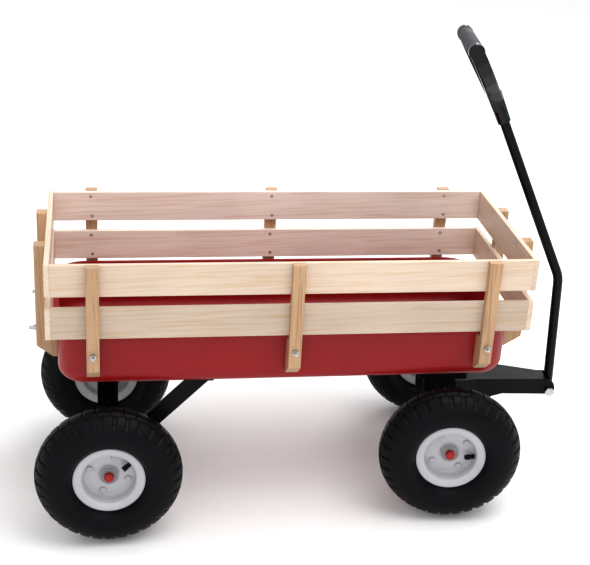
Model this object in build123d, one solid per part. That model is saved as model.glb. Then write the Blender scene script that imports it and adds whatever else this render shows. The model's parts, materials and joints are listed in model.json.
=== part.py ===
"""Four-wheel garden wagon with a steel tray, wooden rails and a pull handle.

Millimetres. +X is the handle end, +Z is up, the ground is z = 0.
The tray and its rails slope down to the front by TRAY_TILT; they are drawn level
in a tray frame and set on the slope by on_tray(). The front gear is drawn
straight and turned by REST_STEER about the kingpin.
"""
import math
import os

from build123d import *

# ---- overall placing -------------------------------------------------------
CENTRE_X = 43.60         # middle of the overall length, moved to x = 0
TRAY_TILT = 1.9          # degrees, front end down
TILT_HEIGHT = 300.0      # height of the line the tray is tilted about
REST_STEER = -7.0        # degrees, front gear as it stands
AXLE_Z = 130.0
REAR_X = -326.0
KINGPIN_X = 315.5

# ---- tray ------------------------------------------------------------------
TRAY_L = 804.5
TRAY_X = -3.75            # middle of the tray along the rails
TRAY_W = 314.0
TRAY_BOTTOM = 276.5
TRAY_TOP = 375.5
TRAY_WALL = 1.5
TRAY_PLAN_R = 50.0
TRAY_EDGE_R = 24.0
RIM_OUT = 8.7
RIM_H = 6.0

# ---- rails -----------------------------------------------------------------
SLAT_T = 9.0
SLAT_H = 57.5
SLAT_GAP = 21.0
RAIL_TOP = 515.0
RAIL_L = 848.0
RAIL_IN = TRAY_W / 2 + RIM_OUT + 0.6
RAIL_W = 2 * (RAIL_IN + SLAT_T)
STAKE_W = 22.0
STAKE_T = 14.5
STAKE_TOP = 516.0
END_STAKE_T = 19.0
END_STAKE_TOP = 512.5
STAKE_BOTTOM = 301.0
STAKE_BEVEL_H = 22.0
STAKE_FOOT = 8.0
STAKE_NOTCH = 368.5
SIDE_STAKE_X = (-345.0, 0.0, 343.0)
END_STAKE_Y = (-75.0, 75.0)
STAKE_BOLT_Z = 353.5
STAKE_BOLT_R = 3.0
SCREW_R = 1.6
SCREW_HEAD_R = 3.2
SCREW_L = 20.0

# ---- axles and wheels ------------------------------------------------------
WHEEL_Y = 189.0
AXLE_R = 7.0
AXLE_END = 12.0          # axle end beyond the wheel's mid-plane
TYRE_R = 130.0
RIM_R = 63.5
HUB_R = 17.0
HUB_IN = -32.0
HUB_OUT = 6.0
BUSH_R = 13.0
RUN_FIT = 0.06
CAP_R = 8.4
RIM_BOLT_PCD = 70.0
RIM_BOLT_R = 4.0

# ---- rear gear -------------------------------------------------------------
PLATE_T = 3.0
LEG_W = 36.0
LEG_WEB_Y = 98.0
LEG_FLANGE_Y = 120.0
BRACE_T = 5.0
BRACE_W = 30.0
BRACE_Y = 136.0          # middle of the bar
BRACE_FOOT = 38.0
BRACE_FOOT_Y = BRACE_Y + BRACE_T / 2 - BRACE_FOOT / 2

# ---- front gear ------------------------------------------------------------
TURN_Z = 243.0           # top of the steering bracket
TURN_GAP = 0.3
TURN_R = 60.0
TURN_FLANGE_R = 79.0
KINGPIN_R = 8.0
BRACKET_Y = 54.0         # inner faces of the steering bracket's legs
TONGUE_TOP = 188.0       # at the nose; the plate climbs towards the axle
TONGUE_BOTTOM = 155.0
TONGUE_CLIMB = 0.08
TONGUE_NOSE = 226.5      # from the kingpin
TONGUE_NOSE_HALF = 18.5
PIVOT_U = 216.6
PIVOT_Z = 162.0
PIVOT_R = 5.0

# ---- handle, in its own upright plane (distance from kingpin, height) -------
SHAFT_R = 9.0
SHAFT_WALL = 2.0
KNEE = (213.5, 398.0)
SOCKET_START = (83.5, 701.0)
KNEE_R = 60.0
SOCKET_DEPTH = 40.0
GRIP_RISE = 159.6
GRIP_HALF = 73.5
GRIP_LEG = 11.5
GRIP_T = 25.0
GRIP_LEAN = 4.0          # degrees the arms lean back from the shaft
SLEEVE_R = 13.5
CORE_R = 8.0

PARTS = {}


def keep(name, shape):
    """Store one node; a list becomes a group of separate solids."""
    items = shape if isinstance(shape, (list, tuple)) else [shape]
    solids = [Pos(-CENTRE_X, 0, 0) * solid for item in items for solid in item.solids()]
    PARTS[name] = Compound(solids) if len(solids) > 1 else solids[0]


def on_tray(shape):
    """Set a shape drawn in the level tray frame on the tray's slope."""
    return Pos(0, 0, TILT_HEIGHT) * Rot(0, TRAY_TILT, 0) * Pos(0, 0, -TILT_HEIGHT) * shape


def to_tray(x, z):
    """Tray-frame coordinates of a point that stands at x, z."""
    a = math.radians(TRAY_TILT)
    dz = z - TILT_HEIGHT
    return (x * math.cos(a) - dz * math.sin(a), TILT_HEIGHT + x * math.sin(a) + dz * math.cos(a))


def on_steer(shape):
    """Turn a shape drawn straight, about the kingpin, to the resting steer."""
    return Pos(KINGPIN_X, 0, 0) * Rot(0, 0, REST_STEER) * shape


def rod(radius, start, end):
    """Round bar between two points."""
    a, b = Vector(*start), Vector(*end)
    return Solid.extrude(Face(Wire(Edge.make_circle(radius, Plane(origin=a, z_dir=b - a)))), b - a)


def rounded_box(length, width, height, radius, z):
    """Upright-cornered block standing on height z."""
    return Pos(0, 0, z) * extrude(RectangleRounded(length, width, radius), height)


def hexagon(across_flats, thickness):
    """Hexagonal prism standing on z = 0."""
    return extrude(RegularPolygon(across_flats / 2, 6, major_radius=False), thickness)


def bolt(radius, length, head_flats, head_t):
    """Hex bolt, head above z = 0, shank below."""
    return hexagon(head_flats, head_t) + Pos(0, 0, -length / 2) * Cylinder(radius, length)


def nut(radius, flats, thickness):
    """Hex nut standing on z = 0 with its hole on the z axis."""
    return hexagon(flats, thickness) - Cylinder(radius, 4 * thickness)


def carriage_bolt(radius, length, head_r, head_t):
    """Domed bolt, dome above z = 0, shank below."""
    sphere_r = (head_r ** 2 + head_t ** 2) / (2 * head_t)
    dome = Pos(0, 0, head_t - sphere_r) * Sphere(sphere_r)
    dome = dome & (Pos(0, 0, head_t) * Box(4 * head_r, 4 * head_r, 2 * head_t))
    return dome + Pos(0, 0, -length / 2) * Cylinder(radius, length)


# ---- wooden rails ----------------------------------------------------------
def slat_levels():
    """Bottom heights of the two slats of every rail."""
    upper = RAIL_TOP - SLAT_H
    return {"upper": upper, "lower": upper - SLAT_GAP - SLAT_H}


def stake_places():
    """Name, position of the stake's inner centre line and its outward turn."""
    places = []
    for side, name in ((-1, "near"), (1, "far")):
        for i, x in enumerate(SIDE_STAKE_X):
            where = ("rear", "mid", "front")[i]
            places.append((f"stake_{name}_{where}", x, side * TRAY_W / 2, 90 * side))
    for end, name in ((-1, "rear"), (1, "front")):
        for y in END_STAKE_Y:
            where = "near" if y < 0 else "far"
            wall = TRAY_X + end * TRAY_L / 2
            places.append((f"stake_{name}_end_{where}", wall, y, 0 if end > 0 else 180))
    return places


def stake_size(name, x):
    """Depth of the notch, thickness and top height of a stake."""
    if "_end_" in name:
        return RAIL_L / 2 - abs(x), END_STAKE_T, END_STAKE_TOP
    return RAIL_IN + SLAT_T - TRAY_W / 2, STAKE_T, STAKE_TOP


def stake_shape(notch, thickness, top):
    """Upright whose outward direction is +X and whose foot lies on x = 0."""
    outer = notch + thickness
    outline = [
        (0, STAKE_BOTTOM), (STAKE_FOOT, STAKE_BOTTOM), (outer, STAKE_BOTTOM + STAKE_BEVEL_H),
        (outer, top), (notch, top), (notch, STAKE_NOTCH), (0, STAKE_NOTCH),
    ]
    face = make_face(Plane.XZ * Polyline(*outline, close=True))
    body = extrude(face, STAKE_W / 2, both=True)
    return fillet(body.edges().filter_by(Axis.Z).group_by(Axis.X)[-1], 1.2)


def screw_spots(inner_x):
    """Screw heads of one stake, on the slats' inner faces: (x, y, z)."""
    return [
        (inner_x, side, base + share * SLAT_H)
        for base in slat_levels().values()
        for side, share in ((-1.0, 0.16), (1.0, 0.84))
    ]


def screw_shape(x, y, z):
    """Countersunk wood screw pointing outward along +X."""
    head = Pos(x + 1.1, y, z) * Rot(0, 90, 0) * Cone(SCREW_HEAD_R, SCREW_R, 2.2)
    return head + rod(SCREW_R, (x + 2.0, y, z), (x + SCREW_L, y, z))


def make_rails():
    """Slats, stakes, their screws, bolts and nuts, all in the tray frame."""
    screws = []
    stakes = {}
    bolts, nuts = [], []
    for name, x, y, turn in stake_places():
        place = Pos(x, y, 0) * Rot(0, 0, turn)
        notch, thickness, top = stake_size(name, x)
        own = [screw_shape(*spot) for spot in screw_spots(notch - SLAT_T)]
        outer = notch + thickness
        shank = Pos(-TRAY_WALL, 0, STAKE_BOLT_Z) * Rot(0, -90, 0)
        length = TRAY_WALL + outer + 12.5
        hole = rod(STAKE_BOLT_R, (-5, 0, STAKE_BOLT_Z), (outer + 5, 0, STAKE_BOLT_Z))
        wood = stake_shape(notch, thickness, top) - hole
        for screw in own:
            wood = wood - screw
            screws.append(place * screw)
        stakes[name] = place * wood
        bolts.append(place * shank * carriage_bolt(STAKE_BOLT_R, length, 6.5, 3.2))
        nuts.append(place * Pos(outer, 0, STAKE_BOLT_Z) * Rot(0, 90, 0) * nut(STAKE_BOLT_R, 10, 5))
    for name, wood in stakes.items():
        keep(name, on_tray(wood))
    for level, base in slat_levels().items():
        for side, name in ((-1, "near"), (1, "far")):
            along = RAIL_L - 2 * SLAT_T - 0.4
            slat = Pos(0, side * (RAIL_IN + SLAT_T / 2), base + SLAT_H / 2) * Box(along, SLAT_T, SLAT_H)
            keep(f"slat_{name}_{level}", on_tray(drill(ease(slat), screws)))
        for end, name in ((-1, "rear"), (1, "front")):
            middle = end * (RAIL_L / 2 - SLAT_T / 2)
            slat = Pos(middle, 0, base + SLAT_H / 2) * Box(SLAT_T, RAIL_W, SLAT_H)
            keep(f"slat_{name}_{level}", on_tray(drill(ease(slat), screws)))
    keep("slat_screws", [on_tray(screw) for screw in screws])
    keep("stake_bolts", [on_tray(item) for item in bolts])
    keep("stake_nuts", [on_tray(item) for item in nuts])


def ease(slat):
    """Break the long edges of a slat."""
    box = slat.bounding_box()
    axis = Axis.X if box.size.X > box.size.Y else Axis.Y
    return fillet(slat.edges().filter_by(axis), 1.0)


def drill(wood, screws):
    """Cut the screws that pass through this piece."""
    box = wood.bounding_box()
    for screw in screws:
        middle = screw.bounding_box().center()
        near = abs(middle.X - box.center().X) < box.size.X / 2 + 12
        near = near and abs(middle.Y - box.center().Y) < box.size.Y / 2 + 12
        if near and box.min.Z < middle.Z < box.max.Z:
            wood = wood - screw
    return wood


# ---- tray ------------------------------------------------------------------
def chassis_spots():
    """Bolts through the tray floor, in the tray frame: (x, y)."""
    rear_x = to_tray(REAR_X, AXLE_Z)[0]
    spots = [(rear_x + dx, side * 85.0) for dx in (-34.0, 34.0) for side in (-1, 1)]
    spots += [(brace_top()[0] + 8.0, side * (BRACE_FOOT_Y - 7.5)) for side in (-1, 1)]
    pin_x = to_tray(KINGPIN_X, TRAY_BOTTOM)[0]
    spots += [(pin_x + dx, dy) for dx in (-49.0, 49.0) for dy in (-49.0, 49.0)]
    return spots


def make_tray():
    """Pressed steel tray with a rolled rim."""
    depth = TRAY_TOP - TRAY_BOTTOM
    outer = rounded_box(TRAY_L, TRAY_W, depth, TRAY_PLAN_R, TRAY_BOTTOM)
    outer = fillet(outer.edges().group_by(Axis.Z)[0], TRAY_EDGE_R)
    wall = TRAY_WALL
    inner_size = (TRAY_L - 2 * wall, TRAY_W - 2 * wall)
    inner = rounded_box(*inner_size, depth + 10, TRAY_PLAN_R - wall, TRAY_BOTTOM + wall)
    inner = fillet(inner.edges().group_by(Axis.Z)[0], TRAY_EDGE_R - wall)
    rim_size = (TRAY_L + 2 * RIM_OUT, TRAY_W + 2 * RIM_OUT)
    rim = rounded_box(*rim_size, RIM_H, TRAY_PLAN_R + RIM_OUT, TRAY_TOP - RIM_H)
    rim = fillet(rim.edges().group_by(Axis.Z)[0] + rim.edges().group_by(Axis.Z)[-1], 2.6)
    tray = Pos(TRAY_X, 0, 0) * ((outer + rim) - inner)
    for name, x, y, turn in stake_places():
        hole = Pos(x, y, 0) * Rot(0, 0, turn) * rod(STAKE_BOLT_R, (-6, 0, STAKE_BOLT_Z), (6, 0, STAKE_BOLT_Z))
        tray = tray - hole
    for x, y in chassis_spots():
        tray = tray - rod(3.0, (x, y, TRAY_BOTTOM - 5), (x, y, TRAY_BOTTOM + 5))
    keep("tray", on_tray(tray))


def make_chassis_bolts():
    """Domed bolts and nuts that hold the gear to the tray floor."""
    floor = TRAY_BOTTOM + TRAY_WALL
    under = TRAY_BOTTOM - PLATE_T
    pieces = []
    for x, y in chassis_spots():
        pieces.append(on_tray(Pos(x, y, floor) * carriage_bolt(3.0, 14.0, 6.5, 3.0)))
        pieces.append(on_tray(Pos(x, y, under - 5.0) * nut(3.0, 10, 5)))
    keep("chassis_bolts", pieces)


# ---- rear gear -------------------------------------------------------------
def brace_top():
    """Tray-frame point where the brace meets the tray's floor."""
    return (-165.5, TRAY_BOTTOM - PLATE_T)


def make_rear_bracket():
    """Plate under the tray with two channel legs that carry the rear axle."""
    x, z = to_tray(REAR_X, AXLE_Z)
    plate_z = TRAY_BOTTOM - PLATE_T / 2
    shape = Pos(x, 0, plate_z) * Box(96, 2 * LEG_FLANGE_Y, PLATE_T)
    low = z - 20.0
    height = TRAY_BOTTOM - low
    for side in (-1, 1):
        reach = LEG_FLANGE_Y - LEG_WEB_Y
        block = Box(LEG_W, reach, height)
        core = Pos(0, side * PLATE_T, -PLATE_T) * Box(LEG_W - 2 * PLATE_T, reach, height)
        leg = Pos(x, side * (LEG_WEB_Y + reach / 2), low + height / 2) * (block - core)
        shape = shape + leg
    shape = shape - rod(AXLE_R, (x, -200, z), (x, 200, z))
    for bx, by in chassis_spots()[:4]:
        shape = shape - rod(3.0, (bx, by, TRAY_BOTTOM - 9), (bx, by, TRAY_BOTTOM + 5))
    keep("rear_axle_bracket", on_tray(shape))


def make_brace(side):
    """Flat bar from the rear axle up to the tray floor."""
    low, top = to_tray(REAR_X, AXLE_Z), brace_top()
    y = side * BRACE_Y
    run = math.hypot(top[0] - low[0], top[1] - low[1])
    angle = math.degrees(math.atan2(top[1] - low[1], top[0] - low[0]))
    bar = Pos(run / 2 + 30, 0, 0) * Box(run + 60, BRACE_T, BRACE_W)
    bar = bar + Rot(90, 0, 0) * Cylinder(BRACE_W / 2, BRACE_T)
    bar = Pos(low[0], y, low[1]) * Rot(0, -angle, 0) * bar
    bar = bar - (Pos(0, 0, top[1] + PLATE_T + 100) * Box(2000, 2000, 200))
    bar = bar - rod(AXLE_R, (low[0], -200, low[1]), (low[0], 200, low[1]))
    foot = Pos(top[0] + 8, side * BRACE_FOOT_Y, top[1] + PLATE_T / 2) * Box(46, BRACE_FOOT, PLATE_T)
    brace = bar + foot
    bx, by = chassis_spots()[4 if side < 0 else 5]
    brace = brace - rod(3.0, (bx, by, TRAY_BOTTOM - 12), (bx, by, TRAY_BOTTOM + 5))
    keep("rear_brace_near" if side < 0 else "rear_brace_far", on_tray(brace))


def axle_shape():
    """Plain round axle along Y, centred on the origin."""
    half = WHEEL_Y + AXLE_END
    return rod(AXLE_R, (0, -half, 0), (0, half, 0))


def bush_shape():
    """Flanged bush of the outer hub end, outboard along +Z."""
    body = Pos(0, 0, HUB_OUT - 7) * Cylinder(BUSH_R, 14)
    flange = Pos(0, 0, HUB_OUT + TURN_GAP + 1.0) * Cylinder(HUB_R - 1.0, 2.0)
    neck = Pos(0, 0, HUB_OUT + 0.2) * Cylinder(BUSH_R, 1.0)
    return body + neck + flange - Cylinder(AXLE_R, 200)


def inner_bush_shape():
    """The same bush at the inner hub end."""
    body = Pos(0, 0, HUB_IN + 7) * Cylinder(BUSH_R, 14)
    flange = Pos(0, 0, HUB_IN - TURN_GAP - 1.0) * Cylinder(HUB_R - 1.0, 2.0)
    neck = Pos(0, 0, HUB_IN - 0.2) * Cylinder(BUSH_R, 1.0)
    return body + neck + flange - Cylinder(AXLE_R, 200)


def cap_shape():
    """Domed push-on cap over the axle end, outboard along +Z."""
    base = HUB_OUT + TURN_GAP + 2.0
    top = AXLE_END + 5.0
    shell = Pos(0, 0, (base + top) / 2) * Cylinder(CAP_R, top - base)
    shell = fillet(shell.edges().group_by(Axis.Z)[-1], 3.0)
    return shell - Pos(0, 0, AXLE_END / 2) * Cylinder(AXLE_R, AXLE_END)


def wheel_side(shape, side):
    """Stand a wheel piece upright with its outboard side to side * Y."""
    return Pos(0, side * WHEEL_Y, 0) * Rot(-90 * side, 0, 0) * shape


# ---- wheels ----------------------------------------------------------------
def revolved(points):
    """Ring from an (r, z) outline turned about the z axis."""
    face = make_face(Plane.XZ * Polyline(*points, close=True))
    return revolve(face, Axis.Z, 360)


def tyre_shape():
    """Pneumatic tyre with three tread grooves."""
    half = [
        (50.6, 8), (50.6, 17.6), (53, 18.9), (55, 19.6), (61, 20.2), (64.3, 20.6), (66.2, 25.5), (69.5, 31),
        (74, 35.6), (80, 39.1), (86, 40.4), (92, 40.5), (98, 39.6), (104, 37.9), (110, 35), (115, 31.5),
        (119.5, 27.3), (123.3, 22.4), (126.5, 16.5), (128.8, 9.9), (TYRE_R, 0),
    ]
    cavity = [
        (52.5, 8.0), (56, 9.5), (62, 12), (67, 18), (74, 26), (82, 31.5), (89, 33), (96, 32.3),
        (103, 29.6), (109, 25.4), (114, 19.6), (117.5, 12.4), (119.3, 5), (119.6, 0),
    ]
    outside = half + [(r, -z) for r, z in reversed(half[:-1])]
    inside = cavity + [(r, -z) for r, z in reversed(cavity[:-1])]
    tyre = revolved(outside + list(reversed(inside)))
    for z, r in ((-13.0, 124.5), (0.0, 126.5), (13.0, 124.5)):
        tyre = tyre - revolved([(r, z - 2), (140, z - 2), (140, z + 2), (r, z + 2)])
    return tyre


def valve_line():
    """Root and tip of the valve stem on the wheel: (x, y, z)."""
    return (48.0, 0.0, 4.0), (29.0, 0.0, 13.0)


def tube_shape():
    """Inner tube with its moulded valve stem."""
    ring = [
        (55.2, 0), (57, 6), (62, 10), (67, 15.5), (74, 23.5), (82, 29), (89, 30.5), (96, 29.8),
        (102.5, 27.3), (108, 23.4), (112.5, 18), (115.8, 11.3), (117.4, 4.5), (117.6, 0),
    ]
    full = ring + [(r, -z) for r, z in reversed(ring[1:-1])]
    wall = 2.5
    mid_r, deep, across = (ring[0][0] + ring[-1][0]) / 2, ring[-1][0] - ring[0][0], 61.0
    scale_r, scale_z = (deep - 2 * wall) / deep, (across - 2 * wall) / across
    core = [(mid_r + (r - mid_r) * scale_r, z * scale_z) for r, z in full]
    tube = revolved(full) - revolved(core)
    root, tip = valve_line()
    start = (57.0, 0.0, 0.5)
    stem = rod(4.0, start, tip)
    cap_from = Vector(*tip) + (Vector(*start) - Vector(*tip)).normalized() * 9
    cap = rod(4.8, tuple(cap_from), tip)
    return tube + stem + cap


def rim_outer_shape():
    """Outboard pressed half of the rim."""
    surface = [
        (HUB_R, 0), (41.8, 0), (44.6, 2), (46.2, 7), (46.8, 15), (48.8, 19.8), (53.5, 22.2), (61.5, 23),
        (RIM_R, 22.2), (RIM_R, 20.9), (61.5, 20.8), (54.6, 20.1), (50.3, 18.2), (48.7, 14.6), (48.2, 6.6),
        (46.4, 0.8), (43.5, -2), (HUB_R, -2),
    ]
    rim = revolved(surface)
    root, tip = valve_line()
    rim = rim - rod(4.8, (57.0, 0, 0.5 - 0.1), tip)
    return rim - rim_holes()


def rim_inner_shape():
    """Inboard pressed half of the rim with the hub tube welded in."""
    surface = [
        (HUB_R, -2), (43.5, -2), (46.6, -4.8), (48.2, -10), (48.7, -16), (50.3, -18.2), (54.6, -20.1),
        (61.5, -20.8), (RIM_R, -20.9), (RIM_R, -22.2), (61.5, -23), (53.5, -22.2), (48.8, -19.8),
        (46.8, -16), (46.2, -10.5), (44.8, -6.2), (42, -4), (HUB_R, -4),
    ]
    rim = revolved(surface) - rim_holes()
    hub = revolved([
        (BUSH_R + RUN_FIT, HUB_IN), (HUB_R, HUB_IN), (HUB_R, HUB_OUT), (BUSH_R + RUN_FIT, HUB_OUT),
    ])
    return rim + hub


def rim_bolt_angles():
    """Bolt positions round the wheel, in degrees from the valve."""
    return [40, 130, 220, 310]


def rim_holes():
    """Cutters of the four rim bolts."""
    cutters = None
    for angle in rim_bolt_angles():
        one = Rot(0, 0, angle) * rod(RIM_BOLT_R, (RIM_BOLT_PCD / 2, 0, -9), (RIM_BOLT_PCD / 2, 0, 9))
        cutters = one if cutters is None else cutters + one
    return cutters


def rim_bolt_shapes():
    """Four bolts with their heads outboard, and the nuts behind."""
    pieces = []
    for angle in rim_bolt_angles():
        place = Rot(0, 0, angle) * Pos(RIM_BOLT_PCD / 2, 0, 0)
        pieces.append(place * bolt(RIM_BOLT_R, 13.0, 11, 3.0))
        pieces.append(place * Pos(0, 0, -9.5) * nut(RIM_BOLT_R, 11, 5.5))
    return pieces


def make_wheel(name, side, place, valve_angle):
    """All five pieces of one wheel."""
    turn = Rot(0, 0, valve_angle)

    def put(shape):
        return place * wheel_side(turn * shape, side)

    keep(f"tyre_{name}", put(tyre_shape()))
    keep(f"tube_{name}", put(tube_shape()))
    keep(f"rim_outer_{name}", put(rim_outer_shape()))
    keep(f"rim_inner_{name}", put(rim_inner_shape()))
    keep(f"rim_bolts_{name}", [put(item) for item in rim_bolt_shapes()])


# ---- front gear ------------------------------------------------------------
def make_turntable():
    """Pressed dish bolted under the tray; its flat bottom is level."""
    pan_bottom = TURN_Z + TURN_GAP
    top = TRAY_BOTTOM + 20
    skin = Pos(0, 0, (pan_bottom + top) / 2) * Cylinder(TURN_R, top - pan_bottom)
    core = Pos(0, 0, pan_bottom + PLATE_T + 50) * Cylinder(TURN_R - PLATE_T, 100)
    dish = Pos(KINGPIN_X, 0, 0) * (skin - core)
    pin_x = to_tray(KINGPIN_X, TRAY_BOTTOM)[0]
    flange = Pos(pin_x, 0, TRAY_BOTTOM - PLATE_T / 2) * Cylinder(TURN_FLANGE_R, PLATE_T)
    flange = on_tray(flange) - Pos(KINGPIN_X, 0, 250) * Cylinder(TURN_R - PLATE_T, 200)
    dish = dish + flange
    dish = dish - on_tray(Pos(pin_x, 0, TRAY_BOTTOM + 50) * Box(300, 300, 100))
    dish = dish - Pos(KINGPIN_X, 0, 240) * Cylinder(KINGPIN_R, 40)
    for x, y in chassis_spots()[6:]:
        dish = dish - on_tray(rod(3.0, (x, y, TRAY_BOTTOM - 9), (x, y, TRAY_BOTTOM + 5)))
    keep("turntable", dish)


def make_kingpin():
    """Bolt and nut the front gear turns on."""
    seat = TURN_Z + TURN_GAP + PLATE_T
    pin = Pos(0, 0, seat) * bolt(KINGPIN_R, seat - 222.0, 24, 9)
    lock = Pos(0, 0, TURN_Z - PLATE_T - TURN_GAP - 11) * nut(KINGPIN_R, 24, 11)
    keep("kingpin", [Pos(KINGPIN_X, 0, 0) * pin, Pos(KINGPIN_X, 0, 0) * lock])


def make_steering_bracket():
    """Inverted U that joins the kingpin, the tongue and the front axle."""
    half = BRACKET_Y + PLATE_T
    low = AXLE_Z - 20.0
    shape = Pos(0, 0, TURN_Z - PLATE_T / 2) * Box(90, 2 * half, PLATE_T)
    for side in (-1, 1):
        leg = Pos(0, side * (BRACKET_Y + PLATE_T / 2), (low + TURN_Z) / 2) * Box(48, PLATE_T, TURN_Z - low)
        lip = Pos(0, side * (BRACKET_Y + PLATE_T / 2), TURN_Z - 17) * Box(90, PLATE_T, 34)
        shape = shape + leg + lip
    shape = shape - Pos(0, 0, TURN_Z) * Cylinder(KINGPIN_R + RUN_FIT, 20)
    shape = shape - rod(AXLE_R, (0, -100, AXLE_Z), (0, 100, AXLE_Z))
    keep("steering_bracket", on_steer(shape))


def tongue_plan(inset):
    """Half outline of the tongue seen from above, moved in by the inset."""
    wide, narrow = BRACKET_Y - inset, TONGUE_NOSE_HALF - inset
    ends = (-36, TONGUE_NOSE) if inset == 0 else (-60, TONGUE_NOSE + 20)
    return [(ends[0], wide), (26, wide), (70, 38.5 - inset), (195, narrow), (ends[1], narrow)]


def tongue_top(u):
    """Height of the tongue's top at a distance from the kingpin."""
    return TONGUE_TOP + max(0.0, TONGUE_NOSE - 30 - u) * TONGUE_CLIMB


def make_tongue():
    """Tapered inverted channel from the front axle out to the handle."""
    t = PLATE_T
    low = TONGUE_BOTTOM

    def slab(points, z0, z1):
        loop = points + [(x, -y) for x, y in reversed(points)]
        return Pos(0, 0, z0) * extrude(make_face(Polyline(*loop, close=True)), z1 - z0)

    def side_cut(points):
        return extrude(make_face(Plane.XZ * Polyline(*points, close=True)), 200, both=True)

    tops = [(TONGUE_NOSE, TONGUE_TOP), (TONGUE_NOSE - 30, TONGUE_TOP), (-36, tongue_top(-36))]
    feet = [(-36, 130), (-26, 112), (30, 112), (60, 139), (102, 158), (122, 162), (196, low), (TONGUE_NOSE, low)]
    shape = slab(tongue_plan(0), 90, 240) & side_cut(tops + feet)
    under = [(TONGUE_NOSE + 30, TONGUE_TOP - t), (TONGUE_NOSE - 30, TONGUE_TOP - t)]
    under += [(-70, tongue_top(-70) - t), (-70, 60), (TONGUE_NOSE + 30, 60)]
    shape = shape - (slab(tongue_plan(t), 50, 240) & side_cut(under))
    shape = shape - Pos(300 + stop_edge(), 0, TONGUE_TOP) * Box(600, 2 * (TONGUE_NOSE_HALF - t), 20)
    shape = shape - nose_trim()
    shape = shape - rod(PIVOT_R, (PIVOT_U, -60, PIVOT_Z), (PIVOT_U, 60, PIVOT_Z))
    shape = shape - rod(AXLE_R, (0, -100, AXLE_Z), (0, 100, AXLE_Z))
    keep("tongue", on_steer(shape))


def stop_edge():
    """Edge of the tongue's top plate that the upright handle rests on."""
    return shaft_u(TONGUE_TOP) - SHAFT_R - 0.5


def nose_trim():
    """Cutter that rounds the nose in side view."""
    r_top, r_low = 20.0, 11.0
    block = Pos(TONGUE_NOSE, 0, (TONGUE_TOP + TONGUE_BOTTOM) / 2) * Box(50, 100, 80)
    keep_in = Plane.XZ * Rectangle(400, TONGUE_TOP - TONGUE_BOTTOM)
    body = extrude(keep_in, 60, both=True)
    body = Pos(TONGUE_NOSE - 200, 0, (TONGUE_TOP + TONGUE_BOTTOM) / 2) * body
    front = body.edges().filter_by(Axis.Y).group_by(Axis.X)[-1].sort_by(Axis.Z)
    body = fillet(front[:1], r_low)
    front = body.edges().filter_by(Axis.Y).group_by(Axis.Z)[-1].sort_by(Axis.X)
    body = fillet(front[-1:], r_top)
    return block - body


def make_pivot_bolt():
    """Bolt through the tongue's nose, with its nut."""
    half = TONGUE_NOSE_HALF + 0.6
    pin = Pos(PIVOT_U, -half, PIVOT_Z) * Rot(90, 0, 0) * bolt(PIVOT_R, 2 * half + 12, 16, 6)
    lock = Pos(PIVOT_U, half, PIVOT_Z) * Rot(-90, 0, 0) * nut(PIVOT_R, 16, 8)
    keep("handle_pivot_bolt", [on_steer(pin), on_steer(lock)])


# ---- handle ----------------------------------------------------------------
def shaft_u(z):
    """Distance from the kingpin of the shaft's lower straight at height z."""
    foot, knee = (PIVOT_U, PIVOT_Z), KNEE
    return foot[0] + (knee[0] - foot[0]) * (z - foot[1]) / (knee[1] - foot[1])


def upper_dir():
    """Unit direction of the shaft's upper straight."""
    du, dz = SOCKET_START[0] - KNEE[0], SOCKET_START[1] - KNEE[1]
    size = math.hypot(du, dz)
    return du / size, dz / size


def make_shaft():
    """Bent steel tube with the pivot sleeve welded to its foot."""
    du, dz = upper_dir()
    foot_z = PIVOT_Z - 13.0
    points = [
        (shaft_u(foot_z), 0, foot_z), (KNEE[0], 0, KNEE[1]),
        (SOCKET_START[0] + du * (SOCKET_DEPTH - 2), 0, SOCKET_START[1] + dz * (SOCKET_DEPTH - 2)),
    ]
    path = FilletPolyline(*points, radius=KNEE_R)
    start = Plane(origin=path @ 0, z_dir=path % 0)
    tube = sweep(start * Circle(SHAFT_R), path=path) - sweep(start * Circle(SHAFT_R - SHAFT_WALL), path=path)
    half = TONGUE_NOSE_HALF - PLATE_T - 0.3
    sleeve_r = 9.5
    sleeve = rod(sleeve_r, (PIVOT_U, -half, PIVOT_Z), (PIVOT_U, half, PIVOT_Z))
    tube = tube + sleeve - rod(PIVOT_R + RUN_FIT, (PIVOT_U, -60, PIVOT_Z), (PIVOT_U, 60, PIVOT_Z))
    keep("handle_shaft", on_steer(tube))


def grip_place(shape):
    """Move a shape from the grip's own frame (+Z along the shaft) to the handle."""
    du, dz = upper_dir()
    lean = math.degrees(math.atan2(du, dz))
    return Pos(SOCKET_START[0], 0, SOCKET_START[1]) * Rot(0, lean, 0) * shape


def grip_outline():
    """Half outline of one grip arm across and along the grip."""
    h, leg, top = GRIP_HALF, GRIP_LEG, GRIP_RISE
    return [
        (0, 26), (10.5, 26), (14, 44), (31, 66), (51, 89), (66, 112), (h, 136), (h, top), (h - leg, top),
        (h - leg, 142), (h - 16, 120), (39, 98), (21, 79), (7, 66), (0, 64),
    ]


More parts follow.
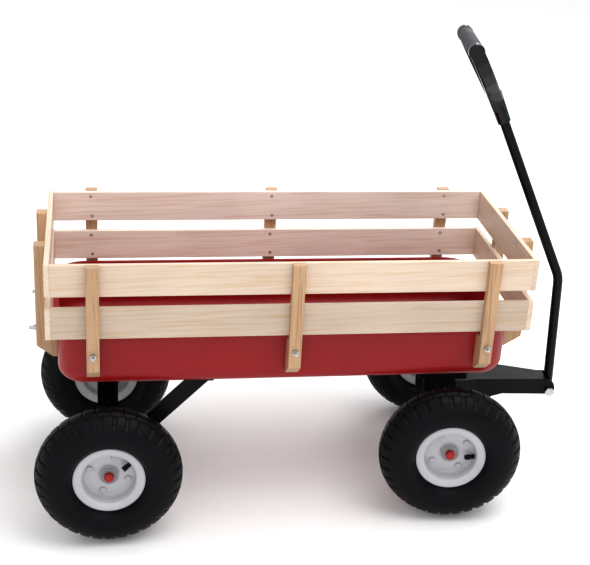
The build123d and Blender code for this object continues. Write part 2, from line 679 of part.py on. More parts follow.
def make_grip():
    """Moulded D grip: socket, two arms and the core bar."""
    arms = None
    for side in (-1, 1):
        points = [(side * y, z) for y, z in grip_outline()]
        flat = make_face(Plane.YZ * Polyline(*points, close=True))
        for low, high, radius in ((60, 92, 14.0), (92, 128, 20.0)):
            bends = [v for v in flat.vertices() if low < v.Z < high and abs(v.Y) > 5 and abs(v.Y) < GRIP_HALF - 2]
            flat = fillet(bends, radius)
        arm = extrude(flat, GRIP_T / 2, both=True)
        arms = arm if arms is None else arms + arm
    outer = arms.edges().filter_by(Plane.YZ)
    arms = fillet(outer, 4.0)
    arms = Pos(0, 0, 26) * Rot(0, -GRIP_LEAN, 0) * Pos(0, 0, -26) * arms
    top_x = -(GRIP_RISE - 26) * math.sin(math.radians(GRIP_LEAN))
    top_z = 26 + (GRIP_RISE - 26) * math.cos(math.radians(GRIP_LEAN))
    socket = Pos(0, 0, 30) * Cone(12.2, 13.4, 60)
    socket = fillet(socket.edges().group_by(Axis.Z)[-1], 4.0)
    body = arms + socket
    for side in (-1, 1):
        y0, y1 = side * (GRIP_HALF - GRIP_LEG), side * GRIP_HALF
        disc = rod(14.1, (top_x, y0, top_z), (top_x, y1, top_z))
        disc = fillet(disc.edges().filter_by(GeomType.CIRCLE).sort_by(lambda e: abs(e.center().Y))[-1:], 3.0)
        body = body + disc
    body = body + rod(CORE_R, (top_x, -GRIP_HALF + 5, top_z), (top_x, GRIP_HALF - 5, top_z))
    body = body - Pos(0, 0, (SOCKET_DEPTH - 2) / 2 - 50) * Cylinder(SHAFT_R, SOCKET_DEPTH - 2 + 100)
    keep("grip_body", on_steer(grip_place(body)))
    half = GRIP_HALF - GRIP_LEG - 0.2
    sleeve = rod(SLEEVE_R, (top_x, -half, top_z), (top_x, half, top_z))
    sleeve = sleeve - rod(CORE_R, (top_x, -GRIP_HALF, top_z), (top_x, GRIP_HALF, top_z))
    keep("grip_sleeve", on_steer(grip_place(sleeve)))


def make_axles():
    """Axles, bushes and hub caps of both ends."""
    rear = Pos(REAR_X, 0, AXLE_Z)
    front = on_steer(Pos(0, 0, AXLE_Z))
    for name, place in (("rear", rear), ("front", front)):
        keep(f"{name}_axle", place * axle_shape())
        bushes, caps = [], []
        for side in (-1, 1):
            bushes.append(place * wheel_side(bush_shape(), side))
            bushes.append(place * wheel_side(inner_bush_shape(), side))
            caps.append(place * wheel_side(cap_shape(), side))
        keep(f"{name}_hub_bushes", bushes)
        keep(f"{name}_hub_caps", caps)


def make_wheels():
    """Two rear wheels, and two front wheels on the steered axle."""
    rear = Pos(REAR_X, 0, AXLE_Z)
    front = on_steer(Pos(0, 0, AXLE_Z))
    make_wheel("rear_near", -1, rear, 30)
    make_wheel("rear_far", 1, rear, 200)
    make_wheel("front_near", -1, front, -9)
    make_wheel("front_far", 1, front, 120)


def main():
    """Build every node and write one STEP file each."""
    make_tray()
    make_rails()
    make_chassis_bolts()
    make_rear_bracket()
    make_brace(-1)
    make_brace(1)
    make_turntable()
    make_kingpin()
    make_steering_bracket()
    make_tongue()
    make_pivot_bolt()
    make_shaft()
    make_grip()
    make_axles()
    make_wheels()
    os.makedirs("parts", exist_ok=True)
    for name, shape in PARTS.items():
        export_step(shape, f"parts/{name}.step")
        print(name, round(shape.volume), len(shape.solids()))
    low_x = min(s.bounding_box().min.X for s in PARTS.values())
    high_x = max(s.bounding_box().max.X for s in PARTS.values())
    print("nodes", len(PARTS), "length", low_x, high_x, "centre", (low_x + high_x) / 2)


if __name__ == "__main__":
    main()
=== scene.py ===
import json
import math

import bpy
from bpy.props import FloatProperty, FloatVectorProperty, IntProperty, PointerProperty
from mathutils import Matrix, Vector


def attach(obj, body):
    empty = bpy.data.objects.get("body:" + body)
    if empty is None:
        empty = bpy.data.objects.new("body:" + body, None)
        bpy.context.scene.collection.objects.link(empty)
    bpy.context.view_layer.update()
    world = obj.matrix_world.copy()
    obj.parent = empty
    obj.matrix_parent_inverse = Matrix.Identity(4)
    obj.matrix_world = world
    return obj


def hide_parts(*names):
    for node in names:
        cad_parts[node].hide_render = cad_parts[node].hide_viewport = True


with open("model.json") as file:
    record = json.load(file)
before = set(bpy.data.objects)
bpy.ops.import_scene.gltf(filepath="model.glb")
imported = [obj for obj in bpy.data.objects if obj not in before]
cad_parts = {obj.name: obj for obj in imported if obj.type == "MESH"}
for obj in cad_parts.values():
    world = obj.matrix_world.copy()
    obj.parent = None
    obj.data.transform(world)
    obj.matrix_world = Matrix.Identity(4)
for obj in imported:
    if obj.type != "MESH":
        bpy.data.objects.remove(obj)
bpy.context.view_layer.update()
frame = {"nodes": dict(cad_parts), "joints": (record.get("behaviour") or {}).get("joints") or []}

bl_info = {
    "name": "Rail Wagon",
    "version": (1, 0, 0),
    "blender": (4, 5, 0),
    "location": "View3D > Sidebar > Wagon",
    "description": "Dresses a steel and timber pull-along wagon in its real finishes",
    "category": "Object",
}

MM = 0.001
WHEELS = ("rear_near", "rear_far", "front_near", "front_far")

# camera, in metres and radians
CAMERA_PLACE = (-0.34842, -2.0995, 1.3777)
CAMERA_HEADING, CAMERA_DIP, CAMERA_ROLL = 0.1575, 0.4319, 0.0227
FLOOR_HALF = 14.0
# darkens the middle tones, so black coat reads as black under the all-white sky
VIEW_GAMMA = 0.8

# tyre tread, in millimetres from the axle (radius) or the middle of the tyre (offset)
LUG_ROOT = 110.5        # the shoulder grooves start here
LUG_FADE = 5.0          # and reach their full depth over this much radius
LUG_SLOT = (0.66, 0.97)  # where a groove starts and ends, as shares of one lug
LUG_EDGE = 0.07         # share of a lug over which a groove's wall slopes
SHOULDER = 14.0         # offset beyond which the lugs lie
RIB = 10.4              # offset where the circumferential groove starts
NOTCH = (0.42, 0.55)    # where the middle rib is notched, as shares of one lug
NOTCH_CLEAR = 3.2       # offset of the unbroken centre line
NOTCH_DEPTH = 0.8


# ---------------------------------------------------------------- colours and nodes
def linear(hex_colour):
    """Turn an sRGB hex colour into linear RGB."""
    parts = [int(hex_colour[i:i + 2], 16) / 255 for i in (1, 3, 5)]
    return tuple(c / 12.92 if c <= 0.04045 else ((c + 0.055) / 1.055) ** 2.4 for c in parts)


def rgba(colour):
    """Linear RGB with full alpha."""
    return (colour[0], colour[1], colour[2], 1.0)


def per_mm(size_mm):
    """Texture scale that repeats once in this many millimetres."""
    return 1.0 / (size_mm * MM)


def add(tree, kind, values=None, **settings):
    """Add a node; values are socket values or output sockets to link."""
    node = tree.nodes.new(kind)
    for key, value in settings.items():
        setattr(node, key, value)
    for key, value in (values or {}).items():
        if isinstance(value, bpy.types.NodeSocket):
            tree.links.new(value, node.inputs[key])
        else:
            node.inputs[key].default_value = value
    return node


def new_material(name):
    """Empty material with a Principled surface; returns material, tree, shader."""
    material = bpy.data.materials.new(name)
    material.use_nodes = True
    tree = material.node_tree
    tree.nodes.clear()
    shader = tree.nodes.new("ShaderNodeBsdfPrincipled")
    output = tree.nodes.new("ShaderNodeOutputMaterial")
    tree.links.new(shader.outputs["BSDF"], output.inputs["Surface"])
    return material, tree, shader


def stops(node, *pairs):
    """Set a colour ramp's stops from (position, linear colour) pairs."""
    ramp = node.color_ramp
    while len(ramp.elements) < len(pairs):
        ramp.elements.new(0.5)
    for element, (position, colour) in zip(ramp.elements, pairs):
        element.position = position
        element.color = rgba(colour) if not isinstance(colour, float) else (colour, colour, colour, 1.0)


def grown(colour, factor):
    """The same colour, lighter or darker."""
    return tuple(min(1.0, c * factor) for c in colour[:3])


# ---------------------------------------------------------------- materials
def planed_pine(name, grain_axis, light, dark, ring_mm, shift):
    """Knot-free softwood, planed and clear lacquered.

    The eye gets long, slightly wandering growth lines, a fine fibre streak along
    the board and a soft sheen.
    """
    material, tree, shader = new_material(name)
    where = add(tree, "ShaderNodeTexCoord")
    stretch = [1.0, 1.0, 1.0]
    stretch[grain_axis] = 0.03
    board = add(tree, "ShaderNodeMapping", {"Vector": where.outputs["Object"], "Location": shift,
        "Scale": stretch})
    drift = add(tree, "ShaderNodeTexNoise", {"Vector": board.outputs["Vector"], "Scale": per_mm(70),
        "Detail": 2.0})
    rings = add(tree, "ShaderNodeTexNoise", {
        "Vector": board.outputs["Vector"], "Scale": per_mm(ring_mm), "Detail": 1.5, "Distortion": 0.9})
    fibre = add(tree, "ShaderNodeTexNoise", {
        "Vector": board.outputs["Vector"], "Scale": per_mm(1.6), "Detail": 3.0, "Roughness": 0.65})
    blotch = add(tree, "ShaderNodeTexNoise", {"Vector": where.outputs["Object"], "Scale": per_mm(150),
        "Detail": 1.0})
    lines = add(tree, "ShaderNodeValToRGB", {"Fac": rings.outputs["Fac"]})
    stops(lines, (0.36, light), (0.5, grown(light, 0.97)), (0.66, dark))
    streak = add(tree, "ShaderNodeValToRGB", {"Fac": fibre.outputs["Fac"]})
    stops(streak, (0.35, 0.93), (0.62, 1.0))
    both = add(tree, "ShaderNodeMix", {
        "Factor": 0.8, 6: lines.outputs["Color"], 7: streak.outputs["Color"]}, data_type="RGBA",
        blend_type="MULTIPLY")
    warm = add(tree, "ShaderNodeMix", {
        "Factor": 0.22, 6: both.outputs[2], 7: rgba(light)}, data_type="RGBA", blend_type="MIX")
    tone = add(tree, "ShaderNodeMapRange", {
        "Value": drift.outputs["Fac"], "From Min": 0.35, "From Max": 0.65, "To Min": 0.95, "To Max": 1.03})
    shade = add(tree, "ShaderNodeMix", {
        "Factor": 1.0, 6: warm.outputs[2], 7: tone.outputs["Result"]}, data_type="RGBA",
        blend_type="MULTIPLY")
    patch = add(tree, "ShaderNodeMapRange", {
        "Value": blotch.outputs["Fac"], "From Min": 0.3, "From Max": 0.7, "To Min": 0.95, "To Max": 1.04})
    final = add(tree, "ShaderNodeMix", {
        "Factor": 1.0, 6: shade.outputs[2], 7: patch.outputs["Result"]}, data_type="RGBA",
        blend_type="MULTIPLY")
    tree.links.new(final.outputs[2], shader.inputs["Base Color"])
    rough = add(tree, "ShaderNodeMapRange", {"Value": fibre.outputs["Fac"], "To Min": 0.42, "To Max": 0.62})
    tree.links.new(rough.outputs["Result"], shader.inputs["Roughness"])
    bump = add(tree, "ShaderNodeBump", {"Height": fibre.outputs["Fac"], "Strength": 0.35,
        "Distance": 0.25 * MM})
    tree.links.new(bump.outputs["Normal"], shader.inputs["Normal"])
    shader.inputs["IOR"].default_value = 1.5
    shader.inputs["Coat Weight"].default_value = 0.12
    shader.inputs["Coat Roughness"].default_value = 0.3
    return material


def sprayed_coat(name, colour, rough, peel_mm, peel_depth, coat, dust=0.0, shine=0.5):
    """Baked enamel or powder coat on steel.

    The eye gets one deep colour with orange peel in the reflections, slightly
    uneven gloss and a little dust that dulls it.
    """
    material, tree, shader = new_material(name)
    where = add(tree, "ShaderNodeTexCoord")
    peel = add(tree, "ShaderNodeTexNoise", {
        "Vector": where.outputs["Object"], "Scale": per_mm(peel_mm), "Detail": 2.0, "Roughness": 0.4})
    cloud = add(tree, "ShaderNodeTexNoise", {
        "Vector": where.outputs["Object"], "Scale": per_mm(90), "Detail": 4.0, "Roughness": 0.6})
    speck = add(tree, "ShaderNodeTexNoise", {
        "Vector": where.outputs["Object"], "Scale": per_mm(4), "Detail": 2.0, "Roughness": 0.7})
    tint = add(tree, "ShaderNodeValToRGB", {"Fac": cloud.outputs["Fac"]})
    stops(tint, (0.3, grown(colour, 0.92)), (0.7, grown(colour, 1.07)))
    film = add(tree, "ShaderNodeMapRange", {
        "Value": speck.outputs["Fac"], "From Min": 0.55, "From Max": 0.8, "To Min": 0.0, "To Max": dust})
    dusty = add(tree, "ShaderNodeMix", {
        "Factor": film.outputs["Result"], 6: tint.outputs["Color"], 7: rgba(linear("#b8b2a8"))},
        data_type="RGBA", blend_type="MIX")
    tree.links.new(dusty.outputs[2], shader.inputs["Base Color"])
    gloss = add(tree, "ShaderNodeMapRange", {
        "Value": cloud.outputs["Fac"], "From Min": 0.3, "From Max": 0.7, "To Min": rough - 0.05,
        "To Max": rough + 0.07})
    tree.links.new(gloss.outputs["Result"], shader.inputs["Roughness"])
    bump = add(tree, "ShaderNodeBump", {
        "Height": peel.outputs["Fac"], "Strength": 0.5, "Distance": peel_depth * MM})
    tree.links.new(bump.outputs["Normal"], shader.inputs["Normal"])
    shader.inputs["IOR"].default_value = 1.5
    # black coats are set under 0.5, so they mirror less of the all-white sky
    shader.inputs["Specular IOR Level"].default_value = shine
    shader.inputs["Coat Weight"].default_value = coat
    shader.inputs["Coat Roughness"].default_value = 0.08
    return material


def zinc_plate(name, colour, rough):
    """Bright zinc-plated steel, as on bolts, nuts, screws and axles.

    The eye gets a cool metal with cloudy passivation and fine turned marks.
    """
    material, tree, shader = new_material(name)
    where = add(tree, "ShaderNodeTexCoord")
    cloud = add(tree, "ShaderNodeTexNoise", {
        "Vector": where.outputs["Object"], "Scale": per_mm(5), "Detail": 4.0, "Roughness": 0.6})
    tint = add(tree, "ShaderNodeValToRGB", {"Fac": cloud.outputs["Fac"]})
    stops(tint, (0.3, grown(colour, 0.75)), (0.7, colour))
    tree.links.new(tint.outputs["Color"], shader.inputs["Base Color"])
    gloss = add(tree, "ShaderNodeMapRange", {"Value": cloud.outputs["Fac"], "To Min": rough - 0.1,
        "To Max": rough + 0.12})
    tree.links.new(gloss.outputs["Result"], shader.inputs["Roughness"])
    bump = add(tree, "ShaderNodeBump", {"Height": cloud.outputs["Fac"], "Strength": 0.3,
        "Distance": 0.05 * MM})
    tree.links.new(bump.outputs["Normal"], shader.inputs["Normal"])
    shader.inputs["Metallic"].default_value = 1.0
    return material


def cured_rubber(name, colour, rough, dust):
    """Moulded and cured tyre rubber.

    The eye gets a near-black, faintly blue surface with a fine mould grain, a
    waxy bloom and pale dust caught in it.
    """
    material, tree, shader = new_material(name)
    where = add(tree, "ShaderNodeTexCoord")
    grain = add(tree, "ShaderNodeTexNoise", {
        "Vector": where.outputs["Object"], "Scale": per_mm(1.4), "Detail": 3.0, "Roughness": 0.6})
    bloom = add(tree, "ShaderNodeTexNoise", {
        "Vector": where.outputs["Object"], "Scale": per_mm(45), "Detail": 4.0, "Roughness": 0.65})
    tint = add(tree, "ShaderNodeValToRGB", {"Fac": bloom.outputs["Fac"]})
    stops(tint, (0.3, grown(colour, 0.8)), (0.72, grown(colour, 1.35)))
    speck = add(tree, "ShaderNodeMapRange", {
        "Value": grain.outputs["Fac"], "From Min": 0.55, "From Max": 0.85, "To Min": 0.0, "To Max": dust})
    dusty = add(tree, "ShaderNodeMix", {
        "Factor": speck.outputs["Result"], 6: tint.outputs["Color"], 7: rgba(linear("#45434a"))},
        data_type="RGBA", blend_type="MIX")
    tree.links.new(dusty.outputs[2], shader.inputs["Base Color"])
    gloss = add(tree, "ShaderNodeMapRange", {
        "Value": bloom.outputs["Fac"], "From Min": 0.3, "From Max": 0.7, "To Min": rough - 0.08,
        "To Max": rough + 0.1})
    tree.links.new(gloss.outputs["Result"], shader.inputs["Roughness"])
    bump = add(tree, "ShaderNodeBump", {"Height": grain.outputs["Fac"], "Strength": 0.4,
        "Distance": 0.12 * MM})
    tree.links.new(bump.outputs["Normal"], shader.inputs["Normal"])
    shader.inputs["IOR"].default_value = 1.52
    # under the usual 0.5, so the rubber stays near black under the all-white sky
    shader.inputs["Specular IOR Level"].default_value = 0.14
    return material


def moulded_plastic(name, colour, rough, grain_mm, grain_depth):
    """Injection-moulded plastic.

    The eye gets an even colour, a soft spark-eroded grain and small flow marks.
    """
    material, tree, shader = new_material(name)
    where = add(tree, "ShaderNodeTexCoord")
    grain = add(tree, "ShaderNodeTexNoise", {
        "Vector": where.outputs["Object"], "Scale": per_mm(grain_mm), "Detail": 2.0, "Roughness": 0.5})
    flow = add(tree, "ShaderNodeTexNoise", {
        "Vector": where.outputs["Object"], "Scale": per_mm(25), "Detail": 2.0, "Distortion": 0.6})
    tint = add(tree, "ShaderNodeValToRGB", {"Fac": flow.outputs["Fac"]})
    stops(tint, (0.3, grown(colour, 0.88)), (0.7, grown(colour, 1.1)))
    tree.links.new(tint.outputs["Color"], shader.inputs["Base Color"])
    gloss = add(tree, "ShaderNodeMapRange", {
        "Value": flow.outputs["Fac"], "From Min": 0.3, "From Max": 0.7, "To Min": rough * 0.8,
        "To Max": rough * 1.25})
    tree.links.new(gloss.outputs["Result"], shader.inputs["Roughness"])
    bump = add(tree, "ShaderNodeBump", {
        "Height": grain.outputs["Fac"], "Strength": 0.4, "Distance": grain_depth * MM})
    tree.links.new(bump.outputs["Normal"], shader.inputs["Normal"])
    shader.inputs["IOR"].default_value = 1.46
    return material


def dress(node, material):
    """Give a carried-over CAD node its finish."""
    slots = frame["nodes"][node].material_slots
    if not slots:
        frame["nodes"][node].data.materials.append(material)
    for slot in slots:
        slot.material = material


# ---------------------------------------------------------------- meshes
def new_piece(name, mesh, material):
    """Link a mesh as a smooth-shaded object with one material."""
    piece = bpy.data.objects.new(name, mesh)
    bpy.context.scene.collection.objects.link(piece)
    mesh.materials.append(material)
    mesh.polygons.foreach_set("use_smooth", [True] * len(mesh.polygons))
    mesh.update()
    return piece


def loft(name, rows, closed_rows=True, closed_loop=True):
    """Quad mesh through rows of points; each row may close on itself."""
    mesh = bpy.data.meshes.new(name)
    count = len(rows[0])
    verts = [p for row in rows for p in row]
    faces = []
    steps = len(rows) if closed_loop else len(rows) - 1
    cols = count if closed_rows else count - 1
    for i in range(steps):
        a, b = i * count, ((i + 1) % len(rows)) * count
        for j in range(cols):
            k = (j + 1) % count
            faces.append((a + j, a + k, b + k, b + j))
    mesh.from_pydata(verts, [], faces)
    mesh.validate()
    return mesh


def wheel_place(name):
    """Matrix that stands a wheel drawn about +Z (outboard) on its axle."""
    joint = next(j for j in frame["joints"] if j["name"] == f"spin_{name}")
    outward = Vector(joint["axis"]) * (-1 if name.endswith("near") else 1)
    up = Vector((0, 0, 1))
    across = up.cross(outward).normalized()
    turn = Matrix((across, up, outward)).transposed().to_4x4()
    return Matrix.Translation(Vector(joint["pos_m"])) @ turn


# ---------------------------------------------------------------- properties
class WagonTimber(bpy.types.PropertyGroup):
    """Colours of the rails."""
    slat_light: FloatVectorProperty(
        name="Slat light", description="Early wood of the slats", subtype="COLOR",
        default=linear("#dccab8"))
    slat_dark: FloatVectorProperty(
        name="Slat dark", description="Growth lines of the slats", subtype="COLOR",
        default=linear("#d2b89b"))
    # The far slats' colours are paler partly as board tone and partly as painted light, standing in for the
    # brighter light and red bounce from the tray.
    pale_and_lit_light: FloatVectorProperty(
        name="Pale and lit slat light", description="Early wood of the far slats, paler tone with painted light", subtype="COLOR",
        default=linear("#f0e3da"))
    pale_and_lit_dark: FloatVectorProperty(
        name="Pale and lit slat dark", description="Growth lines of the far slats, paler tone with painted light", subtype="COLOR",
        default=linear("#e3cdbd"))
    stake_light: FloatVectorProperty(
        name="Stake light", description="Early wood of the stakes", subtype="COLOR",
        default=linear("#c2a17f"))
    stake_dark: FloatVectorProperty(
        name="Stake dark", description="Growth lines of the stakes", subtype="COLOR",
        default=linear("#a78362"))
    ring_spacing: FloatProperty(
        name="Ring spacing", description="Distance between growth lines across a board, in millimetres",
        default=5.0, min=1.0)


class WagonPaint(bpy.types.PropertyGroup):
    """Colours of the painted and moulded parts."""
    tray: FloatVectorProperty(
        name="Tray", description="Enamel of the tray", subtype="COLOR", default=linear("#93171c"))
    steel: FloatVectorProperty(
        name="Steel", description="Powder coat of the gear and handle", subtype="COLOR",
        default=linear("#0d0d0f"))
    rim: FloatVectorProperty(
        name="Rim", description="Powder coat of the rims", subtype="COLOR", default=linear("#bdbdc1"))
    cap: FloatVectorProperty(
        name="Hub cap", description="Plastic of the hub caps", subtype="COLOR", default=linear("#a3201d"))
    sleeve: FloatVectorProperty(
        name="Sleeve", description="Soft sleeve of the grip", subtype="COLOR", default=linear("#4b4b52"))


class WagonTyre(bpy.types.PropertyGroup):
    """Shape and colour of the tyres."""
    lugs: IntProperty(name="Lugs", description="Tread blocks around one shoulder", default=34, min=8)
    groove: FloatProperty(
        name="Groove depth", description="Depth of the grooves between the blocks", subtype="DISTANCE",
        default=3.4 * MM)
    rubber: FloatVectorProperty(
        name="Rubber", description="Tyre rubber", subtype="COLOR", default=linear("#0b0b10"))


class WagonStage(bpy.types.PropertyGroup):
    """Floor, light and camera."""
    floor: FloatVectorProperty(
        name="Floor", description="Floor colour", subtype="COLOR", default=linear("#fbfbfb"))
    key: FloatProperty(name="Key light", description="Power of the overhead key", subtype="POWER",
        default=62.0)
    fill: FloatProperty(name="Sky", description="Strength of the white surroundings", default=0.95, min=0.0)
    lens: FloatProperty(name="Lens", description="Focal length in millimetres", default=77.2)


# ---------------------------------------------------------------- operators
class WAGON_OT_stage(bpy.types.Operator):
    """Pale floor, soft studio lights and the camera"""
    bl_idname = "wagon.stage"
    bl_label = "Stage"

    def execute(self, context):
        stage = context.scene.wagon_stage
        mesh = bpy.data.meshes.new("floor")
        half = FLOOR_HALF
        mesh.from_pydata([(-half, -half, 0), (half, -half, 0), (half, half, 0), (-half, half, 0)], [],
            [(0, 1, 2, 3)])
        material, tree, shader = new_material("matt_painted_floor")
        where = add(tree, "ShaderNodeTexCoord")
        noise = add(tree, "ShaderNodeTexNoise", {
            "Vector": where.outputs["Object"], "Scale": per_mm(300), "Detail": 3.0})
        tint = add(tree, "ShaderNodeValToRGB", {"Fac": noise.outputs["Fac"]})
        stops(tint, (0.3, grown(stage.floor, 0.99)), (0.7, grown(stage.floor, 1.0)))
        tree.links.new(tint.outputs["Color"], shader.inputs["Base Color"])
        shader.inputs["Roughness"].default_value = 0.9
        floor = new_piece("floor", mesh, material)
        self.add_light(context, "key", (0.9, -0.6, 3.2), (0.0, 0.0, 0.2), 2.4, stage.key)
        self.add_light(context, "front", (-0.6, -3.2, 1.9), (0.0, 0.0, 0.3), 2.2, stage.key * 0.22)
        self.add_light(context, "rim", (1.6, 2.4, 2.2), (0.0, 0.0, 0.3), 1.8, stage.key * 0.4)
        world = bpy.data.worlds.new("studio")
        world.use_nodes = True
        world.node_tree.nodes["Background"].inputs["Color"].default_value = (1.0, 1.0, 1.0, 1.0)
        world.node_tree.nodes["Background"].inputs["Strength"].default_value = stage.fill
        context.scene.world = world
        context.scene.view_settings.view_transform = "Standard"
        context.scene.view_settings.gamma = VIEW_GAMMA
        self.add_camera(context, stage.lens)
        return {"FINISHED"}

    def add_light(self, context, name, place, target, size, power):
        """Square soft light aimed at a point."""
        data = bpy.data.lights.new(name, "AREA")
        data.size = size
        data.energy = power
        light = bpy.data.objects.new(name, data)
        light.location = place
        light.rotation_euler = (Vector(target) - Vector(place)).to_track_quat("-Z", "Y").to_euler()
        context.scene.collection.objects.link(light)

    def add_camera(self, context, lens):
        """Camera from heading, dip and a slight roll."""
        heading, dip, roll = CAMERA_HEADING, CAMERA_DIP, CAMERA_ROLL
        data = bpy.data.cameras.new("camera")
        data.lens = lens
        camera = bpy.data.objects.new("camera", data)
        context.scene.collection.objects.link(camera)
        forward = Vector((
            math.sin(heading) * math.cos(dip), math.cos(heading) * math.cos(dip), -math.sin(dip)))
        right = Vector((math.cos(heading), -math.sin(heading), 0.0))
        above = right.cross(forward)
        side = math.cos(roll) * right + math.sin(roll) * above
        top = -math.sin(roll) * right + math.cos(roll) * above
        turn = Matrix((side, top, -forward)).transposed().to_4x4()
        camera.matrix_world = Matrix.Translation(CAMERA_PLACE) @ turn
        context.scene.camera = camera


class WAGON_OT_tray(bpy.types.Operator):
    """Pressed steel tray in red enamel"""
    bl_idname = "wagon.tray"
    bl_label = "Tray"

    def execute(self, context):
        paint = context.scene.wagon_paint
        enamel = sprayed_coat("gloss_red_baked_enamel", paint.tray, 0.34, 3.0, 0.05, 0.12, dust=0.01,
            shine=0.3)
        dress("tray", enamel)
        return {"FINISHED"}


class WAGON_OT_rails(bpy.types.Operator):
    """Slats and stakes in lacquered pine"""
    bl_idname = "wagon.rails"
    bl_label = "Rails"

    def execute(self, context):
        timber = context.scene.wagon_timber
        shift = 0.0
        for node in sorted(frame["nodes"]):
            if node in ("slat_screws", "stake_bolts", "stake_nuts"):
                continue
            if node.startswith("slat_"):
                axis = 1 if node.split("_")[1] in ("rear", "front") else 0
                light, dark, ring = timber.slat_light, timber.slat_dark, timber.ring_spacing
                # the far slats take the paler colours: part board tone, part painted light
                if node.startswith("slat_far"):
                    light, dark = timber.pale_and_lit_light, timber.pale_and_lit_dark
            elif node.startswith("stake_"):
                axis = 2
                light, dark, ring = timber.stake_light, timber.stake_dark, timber.ring_spacing * 0.6
            else:
                continue
            shift += 0.37
            tone = 1.0 + 0.035 * math.sin(shift * 7.3)
            # the near lower slat is darkened to 0.8 of its tone as painted shade
            if node == "slat_near_lower":
                tone *= 0.8
            wood = planed_pine(
                f"lacquered_planed_pine_{node}", axis, grown(light, tone), grown(dark, tone), ring,
                (shift, shift * 0.7, shift * 1.3))
            dress(node, wood)
        return {"FINISHED"}


class WAGON_OT_gear(bpy.types.Operator):
    """Axle brackets, braces, turntable and tongue in black powder coat"""
    bl_idname = "wagon.gear"
    bl_label = "Running gear"

    def execute(self, context):
        paint = context.scene.wagon_paint
        coat = sprayed_coat("black_powder_coat", paint.steel, 0.38, 1.6, 0.06, 0.0, dust=0.01, shine=0.16)
        for node in ("rear_axle_bracket", "rear_brace_near", "rear_brace_far", "turntable",
            "steering_bracket", "tongue"):
            dress(node, coat)
        return {"FINISHED"}


class WAGON_OT_fasteners(bpy.types.Operator):
    """Bolts, nuts, screws, axles and bushes"""
    bl_idname = "wagon.fasteners"
    bl_label = "Fasteners and axles"

    def execute(self, context):
        zinc = zinc_plate("bright_zinc_plated_steel", linear("#c9cacc"), 0.32)
        dark_zinc = zinc_plate("dulled_zinc_screws", linear("#d6c9ba"), 0.62)
        for node in ("stake_bolts", "stake_nuts", "chassis_bolts", "kingpin", "handle_pivot_bolt",
            "rear_axle", "front_axle"):
            dress(node, zinc)
        dress("slat_screws", dark_zinc)
        nylon = moulded_plastic("moulded_nylon_bush", linear("#8b8b8c"), 0.45, 0.8, 0.03)
        cap = moulded_plastic("moulded_red_plastic_cap", context.scene.wagon_paint.cap, 0.28, 1.0, 0.02)
        for end in ("rear", "front"):
            dress(f"{end}_hub_bushes", nylon)
            dress(f"{end}_hub_caps", cap)
        return {"FINISHED"}


class WAGON_OT_rims(bpy.types.Operator):
    """Pressed rims and their bolts in white powder coat"""
    bl_idname = "wagon.rims"
    bl_label = "Rims"

    def execute(self, context):
        paint = context.scene.wagon_paint
        white = sprayed_coat("white_powder_coat", paint.rim, 0.36, 1.8, 0.05, 0.1, dust=0.08)
        bolts = sprayed_coat("white_powder_coat_over_bolts", grown(paint.rim, 0.9), 0.42, 1.2, 0.06, 0.0,
            dust=0.1)
        rubber = cured_rubber("butyl_rubber", linear("#141416"), 0.55, 0.05)
        for name in WHEELS:
            dress(f"rim_outer_{name}", white)
            dress(f"rim_inner_{name}", white)
            dress(f"rim_bolts_{name}", bolts)
            dress(f"tube_{name}", rubber)
        return {"FINISHED"}


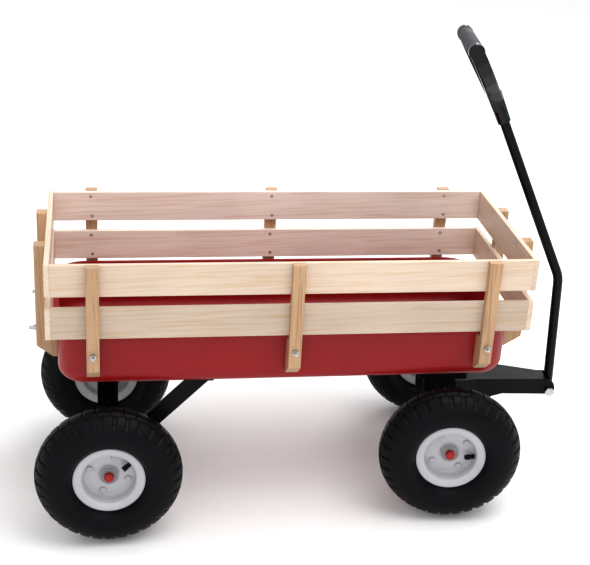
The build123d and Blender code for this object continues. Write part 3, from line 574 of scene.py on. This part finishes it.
class WAGON_OT_tyres(bpy.types.Operator):
    """Pneumatic tyres with moulded shoulder lugs"""
    bl_idname = "wagon.tyres"
    bl_label = "Tyres"

    def execute(self, context):
        settings = context.scene.wagon_tyre
        rubber = cured_rubber("cured_tyre_rubber", settings.rubber, 0.4, 0.1)
        source = self.tyre_mesh(settings.lugs, settings.groove)
        for name in WHEELS:
            mesh = source.copy()
            mesh.transform(wheel_place(name))
            piece = new_piece(f"tyre_tread_{name}", mesh, rubber)
            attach(piece, f"wheel_{name}")
            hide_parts(f"tyre_{name}")
        return {"FINISHED"}

    def outline(self):
        """Half section of the tyre from bead to crown: radius, offset, in mm."""
        return [
            (50.8, 9.0), (50.8, 17.4), (53, 18.7), (55, 19.4), (61, 20.0), (64.2, 20.4), (65.1, 22.0),
            (66.1, 25.0),
            (67.6, 27.8), (69.4, 30.5), (71.6, 33.0), (74, 35.2), (77, 37.3), (80, 38.7), (83, 39.6),
            (86, 40.1),
            (89, 40.25), (92, 40.2), (95, 39.9), (98, 39.3), (101, 38.5), (104, 37.5), (107, 36.3),
            (110, 34.8),
            (111.4, 34.0), (113, 32.9), (115, 31.3), (117.2, 29.4), (119.5, 27.1), (121.5, 24.7),
            (123.3, 22.1),
            (125.0, 19.4), (126.4, 16.7), (127.2, 14.7), (127.6, 13.4), (128.0, 12.2), (128.4, 11.0),
            (128.7, 9.8),
            (129.2, 7.0), (129.7, 3.6), (129.9, 0.0),
        ]

    def depth(self, radius, offset, phase, side):
        """How deep the mould cuts at this point of the tread, 0 to 1."""
        away = abs(offset)
        if radius < LUG_ROOT:
            return 0.0
        lug = (phase + (0.5 if side < 0 else 0.0)) % 1.0
        start, end = LUG_SLOT
        leaving = min(1.0, max(0.0, (end + LUG_EDGE - lug) / LUG_EDGE))
        cut = min(1.0, max(0.0, (lug - start) / LUG_EDGE)) * leaving
        if lug < LUG_EDGE:
            cut = max(cut, min(1.0, max(0.0, (end + LUG_EDGE - 1.0 - lug) / LUG_EDGE)))
        if away > SHOULDER:
            return cut * min(1.0, max(0.0, (radius - LUG_ROOT) / LUG_FADE))
        if away > RIB:
            return 1.0
        notch = (phase + 0.25) % 1.0
        return NOTCH_DEPTH if NOTCH[0] < notch < NOTCH[1] and away > NOTCH_CLEAR else 0.0

    def tyre_mesh(self, lugs, groove):
        """Section swept round the wheel with the grooves cut into it."""
        half = self.outline()
        section = [(r, z, 1) for r, z in half] + [(r, -z, -1) for r, z in reversed(half[:-1])]
        fractions = (0.0, 0.04, 0.10, 0.16, 0.17, 0.23, 0.30, 0.31, 0.40, 0.47, 0.54, 0.55, 0.60, 0.66,
            0.73,
                     0.80, 0.81, 0.88, 0.95, 0.97)
        rows = []
        for lug in range(lugs):
            for phase in fractions:
                angle = 2 * math.pi * (lug + phase) / lugs
                row = []
                for radius, offset, side in section:
                    down = self.depth(radius, offset, phase, side) * groove / MM
                    flat = min(1.0, max(0.0, (radius - 112.0) / 14.0))
                    r = (radius - down * (0.55 + 0.45 * flat)) * MM
                    z = (offset - side * down * 0.55 * (1.0 - flat)) * MM
                    row.append((r * math.cos(angle), r * math.sin(angle), z))
                rows.append(row)
        return loft("tyre", rows, closed_rows=True)


class WAGON_OT_handle(bpy.types.Operator):
    """Bent handle tube, moulded D grip and its sleeve"""
    bl_idname = "wagon.handle"
    bl_label = "Handle"

    def execute(self, context):
        paint = context.scene.wagon_paint
        dress("handle_shaft", sprayed_coat("satin_black_powder_coat_tube", paint.steel, 0.3, 1.6, 0.05,
            0.0, dust=0.01, shine=0.2))
        dress("grip_body", moulded_plastic("gloss_black_nylon", linear("#060608"), 0.11, 2.5, 0.02))
        dress("grip_sleeve", moulded_plastic("grey_soft_touch_elastomer", paint.sleeve, 0.7, 0.9, 0.12))
        return {"FINISHED"}


class WAGON_PT_panel(bpy.types.Panel):
    """Wagon tools in the 3D view's sidebar"""
    bl_label = "Rail Wagon"
    bl_space_type = "VIEW_3D"
    bl_region_type = "UI"
    bl_category = "Wagon"

    def draw(self, context):
        layout = self.layout
        for operator in OPERATORS:
            layout.operator(operator.bl_idname)
        for group in ("wagon_timber", "wagon_paint", "wagon_tyre", "wagon_stage"):
            settings = getattr(context.scene, group)
            box = layout.box()
            for key in settings.__annotations__:
                box.prop(settings, key)


OPERATORS = (
    WAGON_OT_stage, WAGON_OT_tray, WAGON_OT_rails, WAGON_OT_gear, WAGON_OT_fasteners, WAGON_OT_rims,
    WAGON_OT_tyres,
    WAGON_OT_handle,
)
GROUPS = {
    "wagon_timber": WagonTimber, "wagon_paint": WagonPaint, "wagon_tyre": WagonTyre,
    "wagon_stage": WagonStage,
}


def register():
    """Register the settings, the operators and the panel."""
    for key, group in GROUPS.items():
        bpy.utils.register_class(group)
        setattr(bpy.types.Scene, key, PointerProperty(type=group))
    for operator in OPERATORS:
        bpy.utils.register_class(operator)
    bpy.utils.register_class(WAGON_PT_panel)


def unregister():
    """Undo register."""
    bpy.utils.unregister_class(WAGON_PT_panel)
    for operator in reversed(OPERATORS):
        bpy.utils.unregister_class(operator)
    for key, group in GROUPS.items():
        delattr(bpy.types.Scene, key)
        bpy.utils.unregister_class(group)


def main():
    """Dress the wagon."""
    register()
    for operator in OPERATORS:
        group, call = operator.bl_idname.split(".")
        getattr(getattr(bpy.ops, group), call)()


if __name__ == "__main__":
    main()
